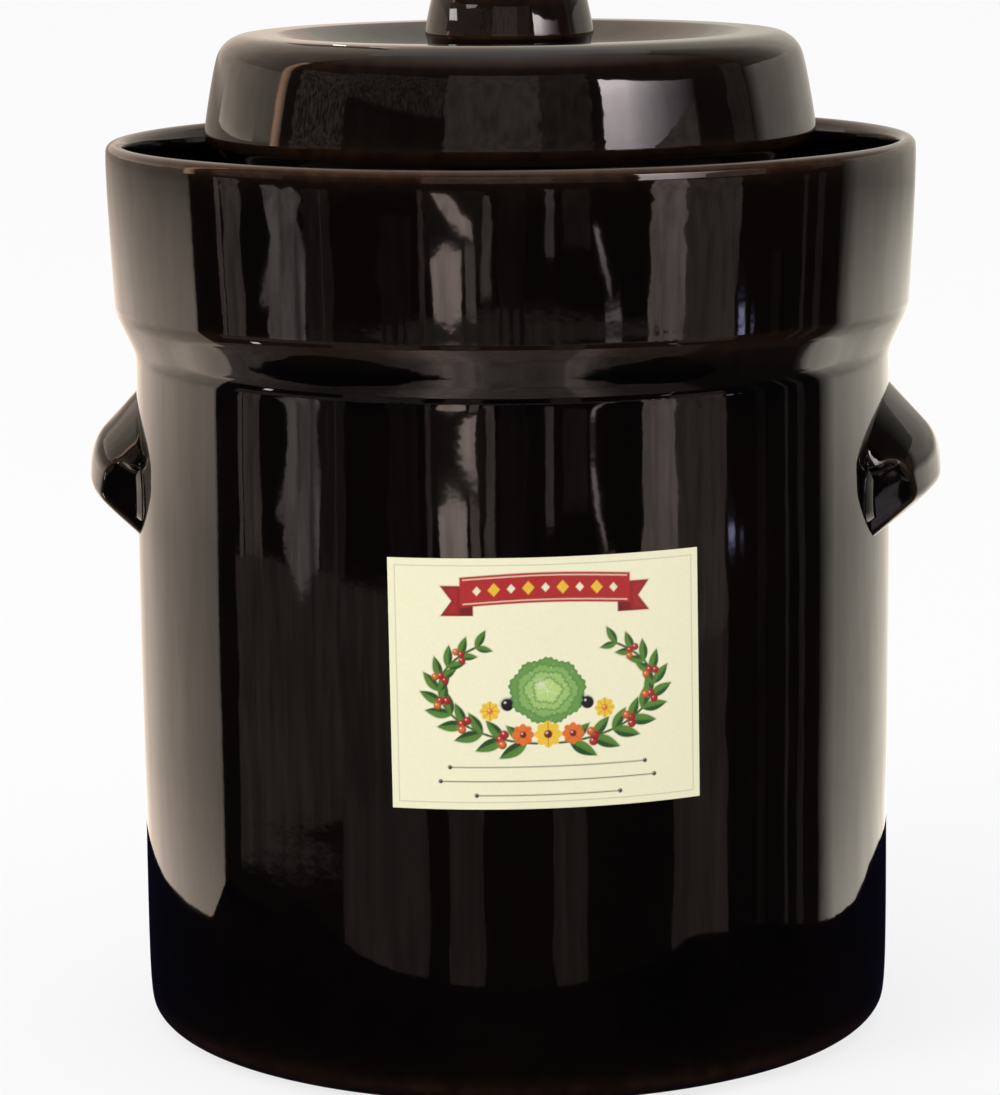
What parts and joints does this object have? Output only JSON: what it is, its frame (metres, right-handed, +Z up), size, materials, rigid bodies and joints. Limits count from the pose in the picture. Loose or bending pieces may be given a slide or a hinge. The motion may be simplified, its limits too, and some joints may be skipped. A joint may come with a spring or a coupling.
{
  "type": "fermentation crock",
  "caption": "Glazed stoneware fermentation crock: water-trough rim, skirted lid with dished top and knob, ear handles, paper label and half-round weighting stones inside.",
  "frame": {"origin": "centre of the foot, on the surface that the crock stands on", "axes": "+Z up along the crock's turning axis, -Y towards the front with the label, handles on +X and -X"},
  "size_m": [0.2794, 0.2616, 0.34],
  "materials": {
    "body_glaze": "near-black brown glaze, high gloss, bare stoneware on the foot ring",
    "handle_glaze": "the same glaze, breaking to tan where it is thin along the edges",
    "lid_glaze": "the same high-gloss glaze, with a brown line where it is thin",
    "knob_glaze": "the same high-gloss glaze",
    "label_paper": "cream printed paper with a satin coat",
    "stoneware": "bare fired stoneware, buff and speckled, matt"
  },
  "bodies": {
    "crock": {"crock_body": "body_glaze", "handle_left": "handle_glaze", "handle_right": "handle_glaze", "label": "label_paper"},
    "lid": {"lid": "lid_glaze", "lid_knob": "knob_glaze"},
    "weight_left": {"weight_left": "stoneware"},
    "weight_right": {"weight_right": "stoneware"}
  },
  "joints": [
    {"name": "lid_lift", "type": "slide", "parent": "crock", "child": "lid", "axis": [0, 0, 1], "range_m": [0, 0.12]},
    {"name": "weight_left_lift", "type": "slide", "parent": "crock", "child": "weight_left", "axis": [0, 0, 1], "range_m": [0, 0.18]},
    {"name": "weight_right_lift", "type": "slide", "parent": "crock", "child": "weight_right", "axis": [0, 0, 1], "range_m": [0, 0.18]}
  ]
}
